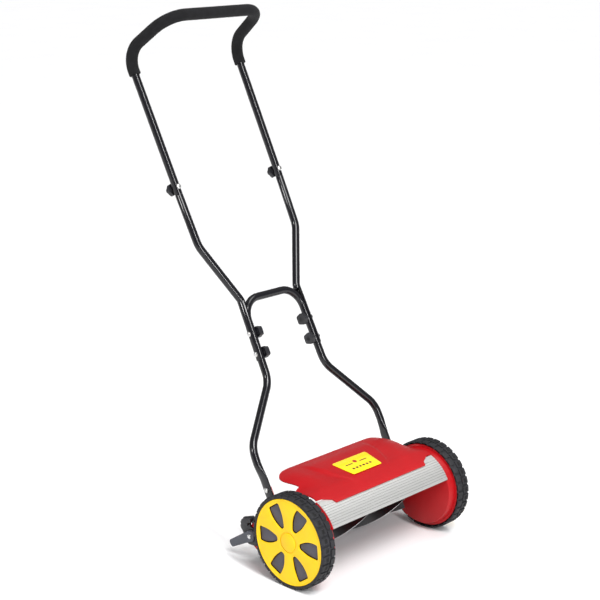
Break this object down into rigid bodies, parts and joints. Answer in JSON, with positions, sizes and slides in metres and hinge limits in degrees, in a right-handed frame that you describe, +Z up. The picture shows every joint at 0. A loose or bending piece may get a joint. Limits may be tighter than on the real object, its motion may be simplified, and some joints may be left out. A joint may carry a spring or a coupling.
{
  "type": "reel mower",
  "caption": "Hand-pushed reel mower: geared wheels turn a helical reel under a hood, with a bent tube handle, foam grip and height-setting rear roller.",
  "frame": {"origin": "on the ground, under the middle of the machine's bounding box", "axes": "+Z up, X across the machine along the wheel axle, -Y the way it travels, +Y towards the user"},
  "size_m": [0.492, 0.6826, 1.1925],
  "materials": {
    "red_plastic": "glossy moulded red plastic",
    "yellow_plastic": "satin moulded yellow plastic",
    "grey_plastic": "matt moulded grey plastic",
    "black_plastic": "matt moulded black plastic",
    "tyre_rubber": "moulded black rubber with chunky lugs",
    "grip_foam": "soft black closed-cell foam",
    "black_tube": "glossy black powder coat on steel tube",
    "black_steel": "black painted steel",
    "bright_steel": "bright zinc plated or ground steel",
    "ribbed_aluminium": "extruded aluminium with fine lengthwise grooves"
  },
  "bodies": {
    "chassis": {"side_plate_left": "red_plastic", "side_plate_right": "red_plastic", "hood": "red_plastic", "hood_label": "yellow_plastic", "front_guard": "ribbed_aluminium", "front_tie_bar": "black_steel", "rear_tie_bar": "black_steel", "bed_knife_bar": "black_steel", "bed_knife": "bright_steel", "reel_bearing_left": "black_plastic", "reel_bearing_right": "black_plastic", "axle_left": "bright_steel", "axle_right": "bright_steel", "retaining_ring_left": "bright_steel", "retaining_ring_right": "bright_steel", "lower_handle": "black_tube", "mid_tube_left": "black_tube", "mid_tube_right": "black_tube", "upper_handle": "black_tube", "foam_grip": "grip_foam", "bolt_upper_left": "bright_steel", "bolt_upper_right": "bright_steel", "bolt_middle_left": "bright_steel", "bolt_middle_right": "bright_steel", "bolt_lower_left": "bright_steel", "bolt_lower_right": "bright_steel", "leg_bolt_left": "bright_steel", "leg_bolt_right": "bright_steel", "height_bracket": "black_plastic"},
    "wheel_left": {"wheel_left": "grey_plastic", "tyre_left": "tyre_rubber", "hub_cap_left": "yellow_plastic"},
    "wheel_right": {"wheel_right": "grey_plastic", "tyre_right": "tyre_rubber", "hub_cap_right": "yellow_plastic"},
    "pinion_left": {"pinion_left": "bright_steel"},
    "pinion_right": {"pinion_right": "bright_steel"},
    "reel": {"reel_shaft": "black_steel", "reel_blade_1": "black_steel", "reel_blade_2": "black_steel", "reel_blade_3": "black_steel", "reel_blade_4": "black_steel", "reel_blade_5": "black_steel", "reel_star_1": "black_steel", "reel_star_2": "black_steel", "reel_star_3": "black_steel", "pawl_left": "bright_steel", "pawl_right": "bright_steel"},
    "height_carrier": {"height_lever": "grey_plastic", "roller_arm_left": "black_plastic", "roller_arm_right": "black_plastic", "lever_screw": "bright_steel", "roller_axle": "bright_steel"},
    "rear_roller": {"rear_roller": "black_plastic"},
    "knob_upper_left": {"knob_upper_left": "black_plastic"},
    "knob_upper_right": {"knob_upper_right": "black_plastic"},
    "knob_middle_left": {"knob_middle_left": "black_plastic"},
    "knob_middle_right": {"knob_middle_right": "black_plastic"},
    "knob_lower_left": {"knob_lower_left": "black_plastic"},
    "knob_lower_right": {"knob_lower_right": "black_plastic"}
  },
  "joints": [
    {"name": "wheel_left_spin", "type": "hinge", "parent": "chassis", "child": "wheel_left", "pos_m": [-0.2295, -0.23634, 0.105], "axis": [1, 0, 0], "continuous": true},
    {"name": "wheel_right_spin", "type": "hinge", "parent": "chassis", "child": "wheel_right", "pos_m": [0.2295, -0.23634, 0.105], "axis": [1, 0, 0], "continuous": true},
    {"name": "pinion_left_spin", "type": "hinge", "parent": "chassis", "child": "pinion_left", "pos_m": [-0.216, -0.17435, 0.08545], "axis": [1, 0, 0], "continuous": true},
    {"name": "pinion_right_spin", "type": "hinge", "parent": "chassis", "child": "pinion_right", "pos_m": [0.216, -0.17435, 0.08545], "axis": [1, 0, 0], "continuous": true},
    {"name": "reel_spin", "type": "hinge", "parent": "chassis", "child": "reel", "pos_m": [0, -0.17435, 0.08545], "axis": [1, 0, 0], "continuous": true},
    {"name": "height_adjust", "type": "hinge", "parent": "chassis", "child": "height_carrier", "pos_m": [0, -0.08134, 0.06], "axis": [1, 0, 0], "range_deg": [0, 40]},
    {"name": "roller_spin", "type": "hinge", "parent": "height_carrier", "child": "rear_roller", "pos_m": [0, -0.10134, 0.02], "axis": [1, 0, 0], "continuous": true},
    {"name": "knob_upper_left_turn", "type": "hinge", "parent": "chassis", "child": "knob_upper_left", "pos_m": [-0.16025, 0.19204, 0.80333], "axis": [0, 0.8862, -0.4633], "continuous": true},
    {"name": "knob_middle_left_turn", "type": "hinge", "parent": "chassis", "child": "knob_middle_left", "pos_m": [-0.06987, 0.02479, 0.48341], "axis": [1, 0, 0], "continuous": true},
    {"name": "knob_lower_left_turn", "type": "hinge", "parent": "chassis", "child": "knob_lower_left", "pos_m": [-0.07103, 0.00255, 0.44087], "axis": [1, 0, 0], "continuous": true},
    {"name": "knob_upper_right_turn", "type": "hinge", "parent": "chassis", "child": "knob_upper_right", "pos_m": [0.16025, 0.19204, 0.80333], "axis": [0, 0.8862, -0.4633], "continuous": true},
    {"name": "knob_middle_right_turn", "type": "hinge", "parent": "chassis", "child": "knob_middle_right", "pos_m": [0.06987, 0.02479, 0.48341], "axis": [-1, 0, 0], "continuous": true},
    {"name": "knob_lower_right_turn", "type": "hinge", "parent": "chassis", "child": "knob_lower_right", "pos_m": [0.07103, 0.00255, 0.44087], "axis": [-1, 0, 0], "continuous": true}
  ],
  "couplings": [
    {"joint": "pinion_left_spin", "follows": "wheel_left_spin", "ratio": 5},
    {"joint": "pinion_right_spin", "follows": "wheel_right_spin", "ratio": 5},
    {"joint": "reel_spin", "follows": "wheel_left_spin", "ratio": 5}
  ]
}
